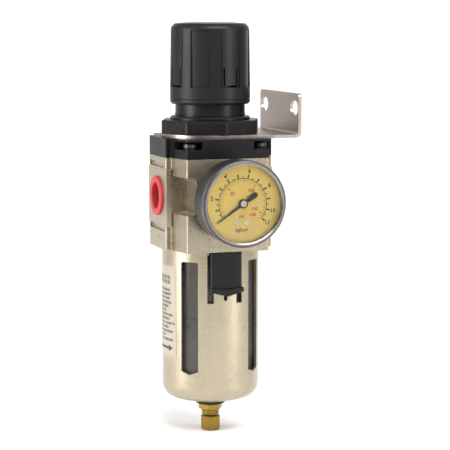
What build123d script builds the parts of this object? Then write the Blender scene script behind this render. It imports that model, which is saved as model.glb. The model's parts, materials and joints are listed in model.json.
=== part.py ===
from build123d import *
from math import cos, pi, radians, sin, tan
import os

# Combined air filter and pressure regulator with gauge, wall bracket and drain cock.
#
# Every piece is built about the regulator's own axis, with z = 0 on the line of the two ports.
# X runs along the ports (inlet -X, outlet +X), -Y is the front with the gauge, +Z is up.
# On export everything moves so that the origin is the centre of the bracket's two wall slots.

# Driving dimensions, millimetres -------------------------------------------------------------
PORT_SPAN = 70.0            # inlet face to outlet face
BODY_DEPTH = 72.0           # front face to back face of the casting
BODY_TOP = 24.9             # joint between casting and bonnet
BODY_BOTTOM = -33.0
BONNET_TOP = 36.9           # seat of the bracket
SHEET = 2.0                 # bracket sheet thickness
WALL_X = 48.5               # wall plane, on the outer face of the bracket
SLOT_Z = 55.2               # height of the wall slots above the port axis
SLOT_SPACING = 54.0
SLOT_LENGTH = 13.0
SLOT_WIDTH = 9.0
NUT_FLATS = 59.5            # octagonal panel nut, across flats
NUT_HEIGHT = 8.6
THREAD_R = 25.2             # bonnet's panel thread
NECK_R = 22.0
KNOB_BOTTOM = 57.4
KNOB_TOP = 108.4
KNOB_ANGLE = 13.0           # first snap tab, from the front towards +X, degrees
GUARD_R = 30.85
GUARD_WALL = 1.8
GUARD_BOTTOM = -128.2       # where the side and the bottom cone would meet
DRAIN_BOTTOM = -153.2
BOWL_R = 27.8
BOWL_WALL = 2.8
PORT_R = 9.32               # G 1/2 tapping bore
GAUGE_PORT_R = 5.72         # G 1/4 tapping bore
GAUGE_R = 26.5              # over the bezel
GAUGE_FRONT = -67.6
GAUGE_BACK = -46.0
DIAL_FACE = -63.0
NEEDLE_ZERO = 124.5         # anticlockwise from straight up, degrees
RUNNING_FIT = 0.06          # radial clearance of sliding and turning shafts

# Derived dimensions --------------------------------------------------------------------------
HALF_SPAN = PORT_SPAN / 2
FRONT_Y = BODY_DEPTH / 2
PLATE_TOP = BONNET_TOP + SHEET
NUT_TOP = PLATE_TOP + NUT_HEIGHT
SCREW_SPOTS = [(sx * 22.8, sy * 29.4) for sx in (-1, 1) for sy in (-1, 1)]
QUADRANTS = [(1, 1), (-1, 1), (-1, -1), (1, -1)]
SLOT_ANGLES = (43.5, 136.5, 223.5, 316.5)


# Small shape helpers -------------------------------------------------------------------------
def rod(r, z0, z1, x=0.0, y=0.0):
    """Upright round bar from z0 to z1."""
    return Pos(x, y, (z0 + z1) / 2) * Cylinder(r, z1 - z0)


def rod_y(r, y0, y1, x=0.0, z=0.0):
    """Round bar along Y."""
    return Pos(x, (y0 + y1) / 2, z) * Rot(90, 0, 0) * Cylinder(r, y1 - y0)


def rod_x(r, x0, x1, y=0.0, z=0.0):
    """Round bar along X."""
    return Pos((x0 + x1) / 2, y, z) * Rot(0, 90, 0) * Cylinder(r, x1 - x0)


def tube(r_out, r_in, z0, z1):
    """Upright tube."""
    return rod(r_out, z0, z1) - rod(r_in, z0 - 1, z1 + 1)


def tube_y(r_out, r_in, y0, y1):
    """Tube along the gauge's axis."""
    return rod_y(r_out, y0, y1) - rod_y(r_in, y0 - 1, y1 + 1)


def block(x0, x1, y0, y1, z0, z1):
    """Box between two corners."""
    return Pos((x0 + x1) / 2, (y0 + y1) / 2, (z0 + z1) / 2) * Box(x1 - x0, y1 - y0, z1 - z0)


def prism(points, z0, z1):
    """Upright prism on a polygon."""
    face = make_face(Polyline(*points, close=True))
    return Pos(0, 0, z0) * extrude(face, z1 - z0)


def turned(points):
    """Solid of revolution about Z from (radius, z) points."""
    return revolve(make_face(Polyline(*[(r, 0, z) for r, z in points], close=True)), Axis.Z)


def turned_y(points):
    """Solid of revolution about the gauge's axis from (radius, y) points."""
    return revolve(make_face(Polyline(*[(r, y, 0) for r, y in points], close=True)), Axis.Y)


def sector(r_out, r_in, z0, z1, start, end):
    """Part of a tube between two angles, measured from -Y towards +X, degrees."""
    reach = r_out * 1.6
    a, m, b = radians(start), radians((start + end) / 2), radians(end)
    wedge = [(0, 0)] + [(reach * sin(t), -reach * cos(t)) for t in (a, m, b)]
    return tube(r_out, r_in, z0, z1) & prism(wedge, z0, z1)


def radial_plane(angle):
    """Plane through the axis that faces outwards at an angle from -Y towards -X."""
    a = radians(angle)
    return Plane(origin=(0, 0, 0), x_dir=(cos(a), -sin(a), 0), z_dir=(-sin(a), -cos(a), 0))


def coil(radius, wire, z0, z1, turns):
    """Round-wire compression spring between two heights."""
    height = z1 - z0 - 2 * wire
    path = Helix(height / turns, height, radius)
    section = Plane(origin=path @ 0, z_dir=path % 0) * Circle(wire)
    return Pos(0, 0, z0 + wire) * sweep(section, path=path, is_frenet=True)


def casting_plan(grow=0.0):
    """Plan outline shared by the casting and the bonnet: port flanges, steps and raked sides."""
    corner = [(HALF_SPAN, 18.3), (31.2, 17.2), (26.6 + grow, FRONT_Y + grow)]
    points = []
    for index, (sx, sy) in enumerate(QUADRANTS):
        quadrant = corner if index % 2 == 0 else corner[::-1]
        points += [(sx * x, sy * y) for x, y in quadrant]
    return points


# Casting -------------------------------------------------------------------------------------
def corner_recess(sx, sy):
    """Pocket between the gauge-port boss and the port flange, at one corner."""
    low, high = -9.6, 13.6
    inner, outer = 22.0, 31.2
    plan = [(sx * inner, sy * 17.2), (sx * 20.4, sy * 38), (sx * outer, sy * 38), (sx * outer, sy * 17.2)]
    pocket = prism(plan, low, high)
    edges = [e for e in pocket.edges() if abs(abs(e.center().X) - 21.2) < 0.3 and abs(e.center().Z - 2) > 9]
    return fillet(edges, 3.5)


def body_casting():
    """Die-cast body with its two ports, gauge ports, recesses and inner passages."""
    body = prism(casting_plan(), BODY_BOTTOM, BODY_TOP)
    upright = [e for e in body.edges() if abs((e @ 0).Z - (e @ 1).Z) > 20]
    body = fillet(upright, 0.9)
    for sx, sy in QUADRANTS:
        body -= corner_recess(sx, sy)
    for side in (-1, 1):
        edge = side * HALF_SPAN
        body += block(min(edge, side * 31.6), max(edge, side * 31.6), -19.1, 19.1, -18, 17.6)
        for low in (18.4, -21.4):
            deep = side * (HALF_SPAN - 1.5)
            body -= block(min(edge, deep), max(edge + side, deep), -16.3, 16.3, low, low + 3.4)
    for side in (-1, 1):
        body += rod_y(12.0, min(side * 34, side * 38), max(side * 34, side * 38))
        body -= rod_y(GAUGE_PORT_R, min(side * 24, side * 39), max(side * 24, side * 39))
        body -= rod_x(PORT_R, min(side * 19, side * 36), max(side * 19, side * 36))
        body -= turned_bevel(side)
    body -= rod(4.5, -20, 0, x=-17.5)
    body -= rod(4.5, 0, 18, x=17.5)
    body -= rod(9.0, -20, 18)
    body -= rod(21.0, 16, BODY_TOP + 1)
    body -= rod(28.1, -24.5, -17)
    body -= rod(29.4, BODY_BOTTOM - 1, -24)
    body -= rod(31.2, -29.6, -26)
    for start in (30, 150, 270):
        body -= sector(31.2, 20, BODY_BOTTOM - 1, -26, start, start + 36)
    for x, y in SCREW_SPOTS:
        body -= rod(2.0, 9.0 if abs(y) < 17 else 15.0, BODY_TOP + 1, x, y)
    for x in (-1.4, 0.9):
        body += block(x - 0.22, x + 0.22, -FRONT_Y - 0.25, -FRONT_Y + 0.5, -32.4, -30.2)
    body += flow_arrow(-1)
    return body


def turned_bevel(side):
    """Lead-in bevel at a port's mouth."""
    cone = Pos(side * (HALF_SPAN - 0.7), 0, 0) * Rot(0, side * 90, 0) * Cone(PORT_R, PORT_R + 1.4, 1.4)
    return cone


def flow_arrow(side):
    """Small raised arrow low on the inlet flange that shows the flow direction."""
    x0 = side * HALF_SPAN
    shaft = block(x0 - 0.35, x0 + 0.1, -4.5, 0.5, -28.0, -26.4)
    head = Plane.YZ * make_face(Polyline((0.5, -29.4), (0.5, -25.0), (4.5, -27.2), close=True))
    return shaft + Pos(x0 - 0.35, 0, 0) * extrude(head, 0.45)


# Bonnet and its fasteners --------------------------------------------------------------------
WINDOW = (30.6, 35.6)       # height of the screw windows


def screw_window(sx, sy):
    """Corner opening around one bonnet screw."""
    xs = sorted((sx * 16.7, sx * 33))
    ys = sorted((sy * 21.4, sy * 38))
    return block(xs[0], xs[1], ys[0], ys[1], *WINDOW)


def bonnet():
    """Black spring housing: flanged base, panel thread, neck and inner dome."""
    base = prism(casting_plan(0.15), BODY_TOP, BONNET_TOP)
    upright = [e for e in base.edges() if abs((e @ 0).Z - (e @ 1).Z) > 8]
    base = fillet(upright, 0.9)
    for sx, sy in QUADRANTS:
        base -= screw_window(sx, sy)
    for x, y in SCREW_SPOTS:
        base += rod(3.7, 30.0, 32.1, x, y)
        base += rod(1.0, 34.9, BONNET_TOP, x, y)
        base -= rod(2.35, BODY_TOP - 1, 33, x, y)
    shell = [(0, 30), (THREAD_R, 30), (THREAD_R, 49.0), (THREAD_R - 0.7, 49.7), (NECK_R, 49.7),
             (NECK_R, 64.0), (21.2, 65.0), (20.0, 65.0), (20.0, 90.0), (18.0, 92.0), (0, 92.0)]
    base += turned(shell)
    base -= turned([(0, 20), (26.1, 20), (26.1, 26.1), (21.0, 26.1), (21.0, 31), (17.0, 35), (17.0,
                                                                                              88), (0, 88)])
    base -= rod(6.0, 87, 93)
    for side in (-1, 1):
        base -= block(-2.6, 2.6, min(side * 16, side * 18.7), max(side * 16, side * 18.7), 54, 84)
    base -= rod_y(1.0, 20, 40, z=33)
    base += sector(NECK_R + 0.35, NECK_R - 1, 50.6, 51.3, 0, 90)
    for start in (90, 180, 270):
        base += sector(NECK_R + 0.35, NECK_R - 1, 50.6, 51.3, start, start + 90)
    return base


def bonnet_screws():
    """Four pan-head screws that clamp the bonnet to the casting."""
    group = []
    for x, y in SCREW_SPOTS:
        screw = rod(4.0, 32.1, 34.7, x, y)
        screw = fillet(screw.edges().group_by(Axis.Z)[-1], 1.2)
        screw += rod(1.95, 16.0, 32.2, x, y)
        screw -= block(x - 2.4, x + 2.4, y - 0.45, y + 0.45, 33.6, 35)
        screw -= block(x - 0.45, x + 0.45, y - 2.4, y + 2.4, 33.6, 35)
        group.append(screw)
    return Compound(children=group)


def panel_nut():
    """Octagonal panel nut with softened corners."""
    corner_r = NUT_FLATS / 2 / cos(pi / 8)
    points = [(corner_r * cos(k * pi / 4), corner_r * sin(k * pi / 4)) for k in range(8)]
    nut = prism(points, PLATE_TOP, NUT_TOP)
    upright = [e for e in nut.edges() if abs((e @ 0).Z - (e @ 1).Z) > 5]
    nut = fillet(upright, 3.0)
    nut = chamfer(nut.faces().sort_by(Axis.Z)[-1].edges(), 0.7)
    return nut - rod(THREAD_R + 0.05, 0, 60)


# Bracket -------------------------------------------------------------------------------------
BRACKET_HALF = 35.0
BRACKET_TOP = 64.4


def mounting_bracket():
    """Bent steel bracket: a plate under the panel nut and an upright wall flange."""
    inner_x = WALL_X - SHEET
    bend = 1.6
    arc = ThreePointArc((-8, -30.0), (-31, 0), (-8, 30.0))
    sides = Polyline((-8, 30.0), (30, BRACKET_HALF), (WALL_X - bend - SHEET, BRACKET_HALF))
    end = Line((WALL_X - bend - SHEET, BRACKET_HALF), (WALL_X - bend - SHEET, -BRACKET_HALF))
    back = Polyline((WALL_X - bend - SHEET, -BRACKET_HALF), (30, -BRACKET_HALF), (-8, -30.0))
    rim = [*arc.edges(), *sides.edges(), *end.edges(), *back.edges()]
    plate = Pos(0, 0, BONNET_TOP) * extrude(make_face(rim), SHEET)
    centre = (inner_x - bend, PLATE_TOP + bend)
    outer_r = bend + SHEET
    corner = Plane.XZ * (Pos(*centre) * (Circle(outer_r) - Circle(bend)))
    corner = Pos(0, BRACKET_HALF, 0) * extrude(corner, 2 * BRACKET_HALF)
    corner &= block(centre[0], WALL_X, -BRACKET_HALF, BRACKET_HALF, BONNET_TOP, centre[1])
    wall = block(inner_x, WALL_X, -BRACKET_HALF, BRACKET_HALF, centre[1], BRACKET_TOP)
    top_corners = [e for e in wall.edges() if e.center().Z > BRACKET_TOP - 1
                   and abs(e.center().Y) > BRACKET_HALF - 1
                   and abs((e @ 0).X - (e @ 1).X) > 1]
    wall = fillet(top_corners, 2.5)
    bracket = plate + corner + wall
    bracket -= rod(THREAD_R + 0.4, 30, 45)
    for side in (-1, 1):
        slot = Plane.YZ * (Pos(side * SLOT_SPACING / 2, SLOT_Z) * SlotOverall(SLOT_LENGTH, SLOT_WIDTH))
        bracket -= Pos(inner_x - 1, 0, 0) * extrude(slot, SHEET + 2)
    return bracket


# Knob and adjusting gear ---------------------------------------------------------------------
def knob_band(start, end, depth, z0, z1):
    """Shallow cut in the knob's side between two angles from the front towards +X."""
    return sector(27.0, 25.2 - depth, z0, z1, start, end)


def knob():
    """Push-to-lock adjusting knob: four finger recesses and four snap-tab panels."""
    profile = [(0, KNOB_BOTTOM), (24.2, KNOB_BOTTOM), (25.3, 58.7), (25.3, 60.3), (24.95, 60.6), (25.3,
                                                                                                  60.9),
               (25.3, 68.0), (24.7, 104.6), (24.1, 105.9), (22.4, 107.7), (14.5, KNOB_TOP), (0, KNOB_TOP)]
    body = turned(profile)
    body -= turned([(0, 50), (22.6, 50), (22.6, 72), (21.4, 74), (21.4, 102.9), (19.4, 104.9), (0, 104.9)])
    hub = rod(8.5, 93.4, 105.5) - extrude(Pos(0, 0, 90) * RegularPolygon(5.3, 6), 13)
    body += hub
    for quarter in range(4):
        tab = KNOB_ANGLE + 90 * quarter
        recess = tab + 45
        body -= knob_band(recess - 15.2, recess + 15.2, 1.15, 68.0, 103.6)
        for side in (-1, 1):
            edge = tab + side * 14.8
            body -= knob_band(edge - 0.9, edge + 0.9, 0.75, 68.0, 104.2)
        body -= knob_band(tab - 14.5, tab + 14.5, 0.35, 68.0, 104.2)
        for side in (-1, 1):
            leg = tab + side * 10.4
            body -= sector(27, 20, 68.3, 80.0, leg - 1.15, leg + 1.15)
        body -= sector(27, 20, 68.3, 69.4, tab - 10.4, tab + 10.4)
    return body


def adjusting_screw():
    """Adjusting screw: threaded stem, thrust flange and the hex that drives it."""
    stem = turned([(0, 57), (4.2, 57), (5.0, 58), (5.0, 84.4), (9.0, 84.4), (9.0, 87.6), (0, 87.6)])
    return stem + extrude(Pos(0, 0, 87.6) * RegularPolygon(5.2, 6), 14.6)


def spring_seat():
    """Travelling nut that presses on the spring, with two ears that stop it turning."""
    seat = turned([(0, 70), (16.2, 70), (16.2, 73.5), (8.0, 73.5), (8.0, 79), (0, 79)])
    for side in (-1, 1):
        seat += block(-2.2, 2.2, min(side * 14, side * 18.3), max(side * 14, side * 18.3), 70, 73.5)
    return seat - rod(5.0 + RUNNING_FIT, 60, 90)


def adjusting_spring():
    """Main pressure spring."""
    return coil(13.6, 1.6, 28.2, 69.9, 7)


# Diaphragm and valve -------------------------------------------------------------------------
def diaphragm():
    """Rubber diaphragm clamped between casting and bonnet."""
    return turned([(6.3, BODY_TOP), (26.0, BODY_TOP), (26.0, 26.1), (6.3, 26.1)])


def diaphragm_plate():
    """Piston plate on the diaphragm, with the boss that passes through it."""
    return turned([(0, 24.4), (6.0, 24.4), (6.0, 26.15), (15.5, 26.15), (15.5, 28.1), (0, 28.1)])


def valve_seat():
    """Brass seat pressed into the casting."""
    return turned([(4.4, 9.6), (5.4, 9.6), (6.2, 11.0), (9.0, 11.0), (9.0, 16.0), (4.4, 16.0)])


def valve_poppet():
    """Valve disc with its push stem and guide stem."""
    return turned([(0, -12), (3.0, -12), (3.0, 6.6), (7.4, 6.6), (7.4, 9.5), (2.0, 9.5), (2.0, 24.4),
                   (0, 24.4)])


def valve_guide():
    """Plug under the valve that guides its stem and carries the filter stud."""
    guide = turned([(0, -17), (8.9, -17), (8.9, -8), (0, -8)])
    guide -= rod(3.0 + RUNNING_FIT, -15.4, -7)
    for k in range(4):
        guide -= rod(1.2, -18, -7, 6.0 * cos(k * pi / 2), 6.0 * sin(k * pi / 2))
    return guide


def valve_spring():
    """Small spring that closes the valve."""
    return coil(4.6, 0.55, -7.9, 6.5, 6)


# Filter --------------------------------------------------------------------------------------
def deflector():
    """Vaned ring that swirls the air as it enters the bowl."""
    ring = tube(23.6, 13.0, -20.4, -17.1) + tube(14.6, 13.0, -29.0, -17.1)
    for k in range(12):
        vane = Pos(0, 0, -24) * Rot(18, 0, 0) * block(13.8, 23.0, -0.7, 0.7, -4.4, 4.4)
        ring += Rot(0, 0, 30 * k) * vane
    ring -= rod(4.5, -21, -16, x=-17.5)
    return ring


def filter_element():
    """Porous filter sleeve."""
    return tube(14.5, 9.0, -78.0, -29.1)


def element_stud():
    """Stud that hangs the element from the valve guide, with its end cap above."""
    stud = rod(3.5, -92, -17.1)
    return stud + rod(12.6, -29.0, -26.5)


def element_baffle():
    """Baffle that keeps the still zone of the bowl calm."""
    cup = turned([(3.6, -79.5), (21.5, -90.5), (21.5, -91.5), (16.0, -91.5), (12.0, -84.5), (3.6, -84.5)])
    return cup + tube(14.5, 3.6, -80.5, -78.1)


def baffle_nut():
    """Plastic nut under the baffle."""
    return extrude(Pos(0, 0, -90) * RegularPolygon(6.5, 6), 5.4) - rod(3.56, -95, -80)


# Bowl, guard and lock ------------------------------------------------------------------------
def shell_of(radius, wall, top, bottom_z, end_r, corner):
    """Round cup with a conical bottom and a hole in the middle."""
    slope = tan(radians(14.6))
    outer_end = bottom_z - slope * (radius - end_r)
    points = [(end_r, 0, top), (radius, 0, top), (radius, 0, bottom_z), (end_r, 0, outer_end)]
    outer = turned_path(points, corner)
    inner_points = [(end_r, 0, top + 1), (radius - wall, 0, top + 1), (radius - wall, 0,
                                                                       bottom_z + wall * 0.8),
                    (end_r, 0, outer_end + wall)]
    return outer - turned_path(inner_points, corner - wall)


def turned_path(points, corner):
    """Revolved solid whose third point is rounded."""
    lines = FilletPolyline(points[1], points[2], points[3], radius=corner)
    axis_top = (0, 0, points[0][2])
    axis_low = (0, 0, points[3][2])
    closing = Polyline(points[3], axis_low, axis_top, points[1])
    return revolve(make_face([*lines.edges(), *closing.edges()]), Axis.Z)


def bowl():
    """Smoky clear bowl with its seal groove and the drain boss."""
    cup = shell_of(BOWL_R, BOWL_WALL, -18.0, GUARD_BOTTOM + 2.6, 7.0, 8.0)
    cup += rod(8.0, -134.05, -127.5)
    cup -= tube(BOWL_R + 1, BOWL_R - 1.5, -22.4, -20.2)
    return cup - rod(5.0, -140, -120)


def bowl_oring():
    """Seal between bowl and casting."""
    return Pos(0, 0, -21.3) * Torus(27.15, 0.8)


def sight_slot(angle):
    """Pentagon-bottomed sight slot through the guard's side."""
    half = 5.8
    outline = Polyline((-half, -40.4), (half, -40.4), (half, -109.9), (0, -112.0), (-half, -109.9),
                       close=True)
    face = make_face(outline)
    top = face.vertices().group_by(Axis.Y)[-1]
    face = fillet(top, 1.2)
    plane = radial_plane(angle)
    return plane * (Pos(0, 0, 20) * extrude(face, 20))


def bowl_guard():
    """Metal guard over the bowl: sight slots, lock window, tongue and bayonet lugs."""
    guard = shell_of(GUARD_R, GUARD_WALL, -33.3, GUARD_BOTTOM, 8.4, 9.0) - rod(8.4, -140, -120)
    guard += tube(GUARD_R, 28.15, -36.0, -33.3)
    guard += tube(29.0, 28.15, -36.0, -26.6)
    for start in (-14, 106, 226):
        guard += sector(30.7, 28.2, -29.0, -26.6, start, start + 28)
    for angle in SLOT_ANGLES:
        guard -= sight_slot(angle)
    window = block(-11.3, 11.3, -40, -20, -66.2, -30.0) - rod(29.05, -70, -20)
    tongue = block(-7.4, 7.4, -40, -20, -70, -54.0)
    guard -= window - tongue
    guard -= block(-1.1, 1.1, -40, -20, -63.4, -58.0) + rod_y(1.1, -40, -20, z=-63.4)
    return guard


def lock_button():
    """Lock button: curved back, side rails in the guard's slits and a thumb ledge."""
    plate = block(-10.0, 10.0, -33.0, -26.0, -58.2, -34.1)
    front = [e for e in plate.edges() if abs(e.center().Y + 33.0) < 0.1 and abs((e @ 0).Z - (e @ 1).Z) > 5]
    plate = fillet(front, 1.4)
    plate -= rod(29.35, -80, -20)
    plate -= block(-7.7, 7.7, -31.2, -20, -70, -47.0)
    plate -= rod_y(1.4, -32.0, -26, z=-36.8) + block(-1.4, 1.4, -32.0, -26, -60, -36.8)
    ledge_outline = Polyline((-10.6, -55.8), (0, -57.0), (10.6, -55.8), (10.6, -58.4), (0, -61.2),
                             (-10.6, -58.4),
                             close=True)
    ledge = Plane.XZ * make_face(ledge_outline)
    ledge = Pos(0, -30, 0) * extrude(ledge, 5.0)
    ledge -= rod(31.2, -80, -20)
    button = plate + ledge
    for side in (-1, 1):
        button += arrow_mark(side)
    return button


def arrow_mark(side):
    """Faint raised arrow on the lock button."""
    x = side * 4.2
    shaft = block(x - 0.35, x + 0.35, -33.2, -32.9, -48.5, -40.0)
    head = Plane.XZ * make_face(Polyline((x - 1.5, -48.0), (x + 1.5, -48.0), (x, -50.6), close=True))
    return shaft + Pos(0, -32.9, 0) * extrude(head, 0.3)


def lock_spring():
    """Return spring of the lock button."""
    return Pos(0, -30.6, 0) * coil(0.85, 0.22, -53.9, -37.0, 12)


def label():
    """Curved label on the inlet side of the guard."""
    return sector(GUARD_R + 0.18, GUARD_R, -102.6, -43.6, -117.0, -62.5)


# Drain ---------------------------------------------------------------------------------------
def drain_collar():
    """Black retaining collar under the guard."""
    collar = rod(9.4, -135.6, -134.1) - rod(5.05, -140, -130)
    return chamfer(collar.edges().group_by(Axis.Z)[0].filter_by(GeomType.CIRCLE).sort_by(SortBy.RADIUS)[-1], 0.6)


def drain_body():
    """Brass drain body: shank, hexagon and ringed neck."""
    body = rod(4.96, -135.6, -126.0)
    hexagon = extrude(Pos(0, 0, -139.2) * RegularPolygon(7.85, 6), 3.6)
    hexagon &= turned([(0, -139.2), (6.9, -139.2), (7.9, -138.7), (7.9, -135.6), (0, -135.6)])
    neck = turned([(0, -142.9), (5.2, -142.9), (5.56, -142.5), (5.56, -141.8), (5.0, -141.6), (5.0, -141.1),
                   (5.56, -140.9), (5.56, -140.2), (5.0, -140.0), (5.0, -139.2), (0, -139.2)])
    body += hexagon + neck
    body -= rod(2.5 + RUNNING_FIT, -145, -131.5)
    return body - rod(1.2, -132, -120)


def drain_spindle():
    """Needle spindle that closes the drain."""
    return turned([(0, -148.6), (2.5, -148.6), (2.5, -133.2), (1.1, -131.6), (0, -131.6)])


def drain_knob():
    """Knurled drain knob."""
    knob_body = turned([(0, DRAIN_BOTTOM), (4.9, DRAIN_BOTTOM), (5.7, -152.8), (6.05, -152.0), (6.05,
                                                                                                -144.3),
                        (5.6, -143.7), (0, -143.7)])
    knob_body -= rod(2.5 + RUNNING_FIT, -149.0, -140)
    for k in range(28):
        angle = 2 * pi * k / 28
        knob_body -= rod(0.28, -152.0, -144.6, 6.1 * cos(angle), 6.1 * sin(angle))
    return knob_body


# Gauge ---------------------------------------------------------------------------------------
def gauge_stem():
    """Brass gauge connection: thread shank, hexagon and neck into the case."""
    stem = rod_y(5.7, -38.1, -25.0)
    hexagon = Plane.XZ * RegularPolygon(8.1, 6)
    stem += Pos(0, -38.1, 0) * extrude(hexagon, 5.6)
    stem += rod_y(5.4, -49.5, -43.0)
    return stem - rod_y(1.5, -48.0, -20)


def gauge_case():
    """Black gauge case, open to the front."""
    outer = turned_y([(0, GAUGE_BACK), (24.4, GAUGE_BACK), (25.6, GAUGE_BACK - 1.0), (25.9,
                                                                                      GAUGE_BACK - 2.4),
                      (25.9, -65.2), (0, -65.2)])
    return outer - rod_y(24.6, -70, GAUGE_BACK - 1.6) - rod_y(5.45, -60, -40)


def gauge_bezel():
    """Polished rolled bezel."""
    return turned_y([(25.95, -63.2), (GAUGE_R, -63.2), (GAUGE_R, -66.4), (26.1, -67.2), (25.2, GAUGE_FRONT),
                     (24.4, GAUGE_FRONT), (23.8, -67.2), (23.7, -66.5), (24.0, -66.3), (25.95, -66.3)])


def gauge_lens():
    """Clear lens under the bezel's lip."""
    return rod_y(24.5, -66.25, -65.25)


def gauge_spacer():
    """Bright ring that holds the lens clear of the dial."""
    return tube_y(24.5, 23.9, -65.2, DIAL_FACE - 0.05)


def gauge_dial():
    """Dial plate with its centre hole."""
    return rod_y(24.4, DIAL_FACE, DIAL_FACE + 0.6) - rod_y(1.3, -70, -50)


DIAL_SCREWS = [(-4.8, -11.5), (2.3, -11.5)]


def dial_screws():
    """Two small screws that hold the dial."""
    group = []
    for x, z in DIAL_SCREWS:
        screw = rod_y(1.35, DIAL_FACE - 0.7, DIAL_FACE - 0.02, x, z)
        screw -= block(x - 0.2, x + 0.2, -65, DIAL_FACE - 0.4, z - 1.0, z + 1.0)
        group.append(screw)
    return Compound(children=group)


def gauge_needle():
    """Pointer with a broad tail, its boss and arbor, resting at zero."""
    half = [(0.25, 20.4), (0.8, 2.0), (0.8, -2.0), (1.35, -4.4), (1.75, -7.2), (1.5, -9.6), (0.7, -10.6)]
    blade = Polyline(*half, *[(-x, z) for x, z in reversed(half)], close=True)
    blade = extrude(Plane.XZ * make_face(blade), 0.4)
    blade = Pos(0, -64.0, 0) * Rot(0, -NEEDLE_ZERO, 0) * blade
    needle = blade + rod_y(2.8, -64.5, -63.6)
    return needle + rod_y(0.9, -64.0, -59.0)


def needle_cap():
    """Bright cap pressed on the pointer's hub, with a centre mark."""
    return turned_y([(0, -64.5), (2.05, -64.5), (2.05, -64.8), (1.8, -65.05), (0.5, -65.05), (0.4, -64.85),
                     (0, -64.85)])


def gauge_movement():
    """Movement block behind the dial."""
    frame_block = block(-7, 7, -59.5, -52.0, -6, 6) - rod_y(0.9 + RUNNING_FIT, -60, -58.9)
    return frame_block + block(-3, 3, -52.5, -49.8, -4, 4)


def bourdon_tube():
    """Curved pressure element around the movement."""
    ring = tube_y(16.5, 14.2, -58.5, -52.5)
    return ring - block(-20, 20, -60, -50, -20, -4)


def rear_port_plug():
    """Socket plug in the unused gauge port at the back."""
    plug = rod_y(5.7, 25.0, 38.0) + rod_y(7.6, 38.0, 40.2)
    socket = Plane.XZ * RegularPolygon(3.2, 6)
    return plug - Pos(0, 41, 0) * extrude(socket, 4.5)


def inlet_plug():
    """Red cup plug that closes the inlet until it is piped."""
    plug = Pos(-HALF_SPAN, 0, 0) * Rot(0, -90, 0) * turned(
        [(0, -12.0), (8.9, -12.0), (9.2, -11.0), (9.2, 0.05), (12.5, 0.05), (12.5, 1.0), (11.9, 1.6),
         (8.6, 1.6),
         (8.2, 1.2), (7.9, -10.6), (0, -10.6)])
    return plug


MAKERS = [
    body_casting, bonnet, bonnet_screws, panel_nut, mounting_bracket, knob, adjusting_screw, spring_seat,
    adjusting_spring,
    diaphragm, diaphragm_plate, valve_seat, valve_poppet, valve_guide, valve_spring, deflector,
    filter_element, element_stud, element_baffle, baffle_nut, bowl, bowl_oring, bowl_guard, lock_button,
    lock_spring,
    label, drain_collar, drain_body, drain_spindle, drain_knob, gauge_stem, gauge_case, gauge_bezel,
    gauge_lens,
    gauge_spacer, gauge_dial, dial_screws, gauge_needle, needle_cap, gauge_movement, bourdon_tube,
    rear_port_plug, inlet_plug,
]


def main():
    """Build every piece and write it in the part's frame."""
    os.makedirs("parts", exist_ok=True)
    to_frame = Pos(-WALL_X, 0, -SLOT_Z)
    for maker in MAKERS:
        export_step(to_frame * maker(), f"parts/{maker.__name__}.step")


main()
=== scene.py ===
"""Studio scene of a filter regulator: every finish, the dial and label printing, and the port threads.

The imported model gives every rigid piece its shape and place. This file dresses those pieces, adds the
printing and thread ridges as pieces of their own, and sets the floor, the lights and the camera.
"""

import json
import logging
import math
from dataclasses import dataclass, field
from enum import Enum
from typing import Iterable, Optional, Sequence, Union

import bmesh
import bpy
from mathutils import Matrix, Vector

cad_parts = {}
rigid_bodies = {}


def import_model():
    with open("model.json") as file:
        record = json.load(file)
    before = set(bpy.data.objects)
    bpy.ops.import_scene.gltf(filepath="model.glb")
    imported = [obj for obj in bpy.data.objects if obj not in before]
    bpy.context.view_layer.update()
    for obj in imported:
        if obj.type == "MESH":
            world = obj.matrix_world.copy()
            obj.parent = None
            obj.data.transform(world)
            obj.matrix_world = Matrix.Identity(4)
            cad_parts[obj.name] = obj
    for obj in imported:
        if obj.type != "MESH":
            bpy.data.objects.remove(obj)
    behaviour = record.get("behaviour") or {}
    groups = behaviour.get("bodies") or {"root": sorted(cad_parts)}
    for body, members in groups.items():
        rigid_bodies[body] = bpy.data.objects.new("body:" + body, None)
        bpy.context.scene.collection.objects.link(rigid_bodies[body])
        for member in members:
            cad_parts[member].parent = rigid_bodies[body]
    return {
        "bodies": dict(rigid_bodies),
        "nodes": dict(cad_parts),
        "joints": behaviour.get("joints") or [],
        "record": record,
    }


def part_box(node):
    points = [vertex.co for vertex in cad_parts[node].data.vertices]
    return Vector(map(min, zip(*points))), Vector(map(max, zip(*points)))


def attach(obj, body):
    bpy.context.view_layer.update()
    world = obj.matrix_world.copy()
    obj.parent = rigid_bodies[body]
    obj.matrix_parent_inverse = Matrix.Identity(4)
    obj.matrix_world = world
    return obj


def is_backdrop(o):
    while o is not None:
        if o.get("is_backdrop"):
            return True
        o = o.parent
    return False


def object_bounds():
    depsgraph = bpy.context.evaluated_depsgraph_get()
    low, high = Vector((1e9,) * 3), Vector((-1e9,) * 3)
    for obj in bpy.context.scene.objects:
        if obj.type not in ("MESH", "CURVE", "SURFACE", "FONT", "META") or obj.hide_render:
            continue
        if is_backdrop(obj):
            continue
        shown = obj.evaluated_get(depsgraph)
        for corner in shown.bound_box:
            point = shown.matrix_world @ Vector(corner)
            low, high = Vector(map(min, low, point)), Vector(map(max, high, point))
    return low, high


LOG = logging.getLogger("filter_regulator")
MM = 0.001
Colour = tuple[float, float, float]
Amount = Union["Signal", float]


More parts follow.
